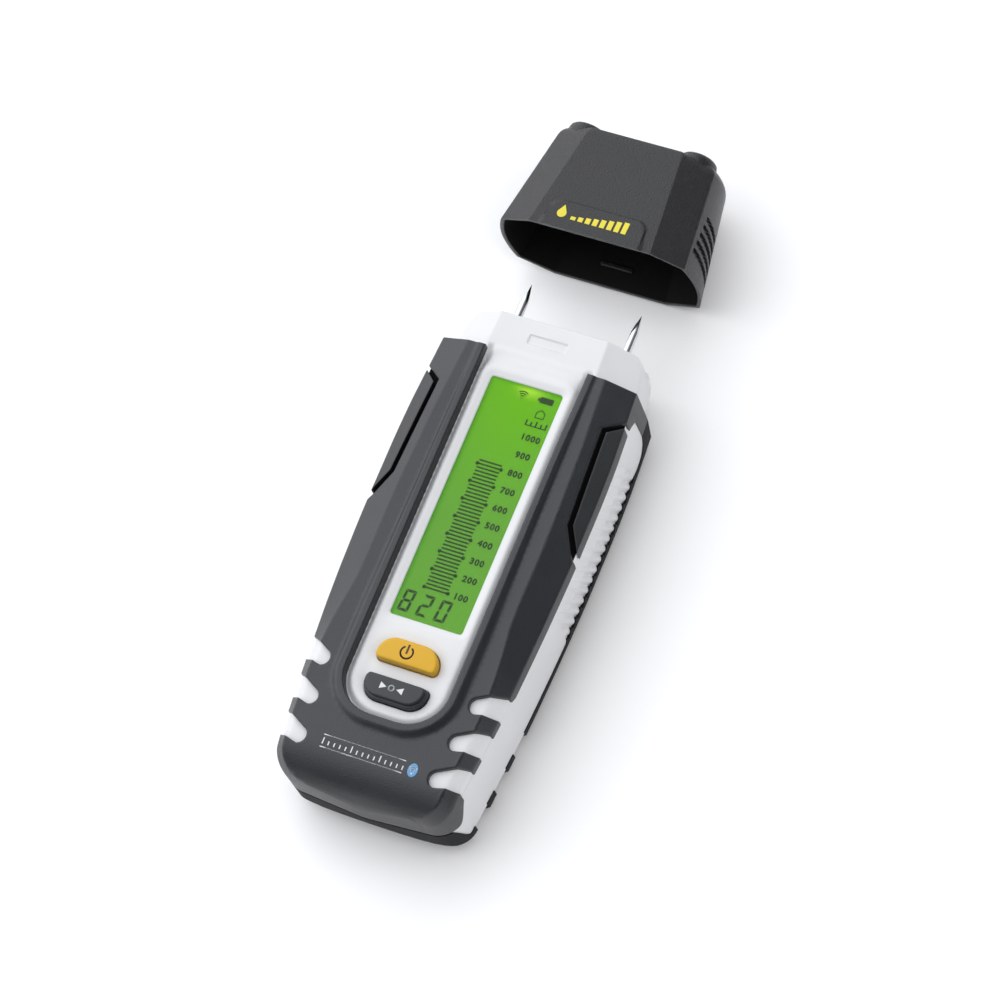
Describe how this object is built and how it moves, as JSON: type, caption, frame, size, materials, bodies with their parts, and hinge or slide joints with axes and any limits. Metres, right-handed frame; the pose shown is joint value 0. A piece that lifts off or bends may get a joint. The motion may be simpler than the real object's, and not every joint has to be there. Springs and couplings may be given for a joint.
{
  "type": "moisture meter",
  "caption": "Handheld pin-type moisture meter with two electrodes, a lit display, two keys, dark grips over a white housing, a battery door and a pull-off protective cap.",
  "frame": {"origin": "centre of the bounding box on the plane that the meter's back rests on, with the cap pulled off in line", "axes": "+X across the meter to its right side, +Y along it towards the electrodes and the cap, +Z out of the display"},
  "size_m": [0.0568, 0.1916, 0.0327],
  "materials": {
    "white_shell": "fine satin",
    "dark_grip": "soft matte",
    "white_trim": "satin, ribbed",
    "dark_pad": "soft matte",
    "clear_window": "clear",
    "lcd_glass": "lit green display",
    "light_guide": "frosted",
    "led_lens": "clear",
    "elastomer": "striped conductive rubber",
    "yellow_key": "satin",
    "dark_key": "satin",
    "switch_black": "moulded",
    "circuit_board": "solder mask",
    "chip_black": "moulded",
    "shield_can": "tinned",
    "component_mix": "mixed parts",
    "screw_steel": "zinc plated",
    "electrode_steel": "polished",
    "socket_brass": "turned",
    "spring_bronze": "stamped",
    "door_dark": "soft matte",
    "cell_sleeve": "printed sleeve on a cell",
    "spring_steel": "nickel plated",
    "cap_black": "grained"
  },
  "bodies": {
    "meter": {"front_housing": "white_shell", "rear_housing": "white_shell", "front_grip": "dark_grip", "rear_grip": "dark_grip", "side_trim_left": "white_trim", "side_trim_right": "white_trim", "grip_pad_left": "dark_pad", "grip_pad_right": "dark_pad", "display_window": "clear_window", "display_panel": "lcd_glass", "backlight_guide": "light_guide", "backlight_leds": "led_lens", "display_connector": "elastomer", "power_switch": "switch_black", "mode_switch": "switch_black", "main_board": "circuit_board", "microcontroller": "chip_black", "radio_module": "shield_can", "board_components": "component_mix", "board_screws": "screw_steel", "electrode_left": "electrode_steel", "electrode_right": "electrode_steel", "socket_left": "socket_brass", "socket_right": "socket_brass", "contact_strip_left": "spring_bronze", "contact_strip_right": "spring_bronze", "battery_left": "cell_sleeve", "battery_right": "cell_sleeve", "battery_springs": "spring_steel", "battery_plates": "spring_steel", "housing_screws": "screw_steel"},
    "power_key": {"power_button": "yellow_key", "power_plunger": "switch_black"},
    "mode_key": {"mode_button": "dark_key", "mode_plunger": "switch_black"},
    "door": {"battery_door": "door_dark"},
    "cap": {"cap_shell": "cap_black"}
  },
  "joints": [
    {"name": "cap_slide", "type": "slide", "parent": "meter", "child": "cap", "axis": [0, 1, 0], "range_m": [-0.0355, 0]},
    {"name": "power_press", "type": "slide", "parent": "meter", "child": "power_key", "axis": [0, 0, -1], "range_m": [0, 0.0006], "stiffness_N_per_m": 800},
    {"name": "mode_press", "type": "slide", "parent": "meter", "child": "mode_key", "axis": [0, 0, -1], "range_m": [0, 0.0006], "stiffness_N_per_m": 800},
    {"name": "door_hinge", "type": "hinge", "parent": "meter", "child": "door", "pos_m": [0, -0.0052, 0.0013], "axis": [1, 0, 0], "range_deg": [0, 75]}
  ]
}
